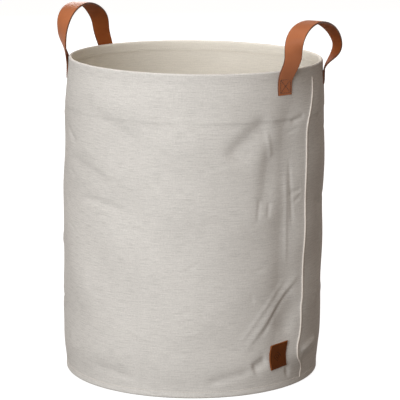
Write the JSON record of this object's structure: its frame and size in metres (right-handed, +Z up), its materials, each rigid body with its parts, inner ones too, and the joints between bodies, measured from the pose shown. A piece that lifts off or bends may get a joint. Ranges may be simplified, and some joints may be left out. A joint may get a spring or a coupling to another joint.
{
  "type": "fabric storage bin",
  "caption": "Tall round canvas storage bin with a hooped rim and base, an open top and two leather loop handles that fold outwards or inwards.",
  "frame": {"origin": "centre of the base, on the surface that the bin stands on", "axes": "+Z up through the open rim, handles at -X and +X, label and side seam on the +X side towards -Y"},
  "size_m": [0.436, 0.4134, 0.5732],
  "materials": {
    "canvas": "matte plain-weave canvas",
    "lining": "matte thin woven lining",
    "thread": "matte sewing thread",
    "brown_thread": "matte sewing thread",
    "strap_leather": "satin smooth-grain leather",
    "label_leather": "matte debossed leather",
    "board": "matte grey-brown board",
    "hoop_wire": "drawn spring wire"
  },
  "bodies": {
    "base": {"base_panel": "canvas", "base_board": "board", "base_lining": "lining", "base_hoop": "hoop_wire", "bottom_hem": "canvas", "bottom_stitching": "thread", "wall_panel": "canvas", "wall_lining": "lining", "inner_facing": "canvas", "side_seam_welt": "canvas", "side_seam_tape": "lining", "label": "label_leather"},
    "rim": {"top_hem": "canvas", "rim_hoop": "hoop_wire", "hem_stitching": "thread", "left_strap_ends": "strap_leather", "right_strap_ends": "strap_leather", "left_end_stitching": "brown_thread", "right_end_stitching": "brown_thread"},
    "left_handle": {"left_handle_loop": "strap_leather"},
    "right_handle": {"right_handle_loop": "strap_leather"}
  },
  "joints": [
    {"name": "rim_collapse", "type": "slide", "parent": "base", "child": "rim", "axis": [0, 0, 1], "range_m": [-0.385, 0], "deforming": ["wall_panel", "wall_lining", "inner_facing", "side_seam_welt", "side_seam_tape", "label"]},
    {"name": "left_handle_swing", "type": "hinge", "parent": "rim", "child": "left_handle", "pos_m": [-0.1875, 0, 0.505], "axis": [0, -1, 0], "range_deg": [-70, 100], "stiffness_Nm_per_rad": 0.06},
    {"name": "right_handle_swing", "type": "hinge", "parent": "rim", "child": "right_handle", "pos_m": [0.1875, 0, 0.505], "axis": [0, 1, 0], "range_deg": [-70, 100], "stiffness_Nm_per_rad": 0.06}
  ]
}
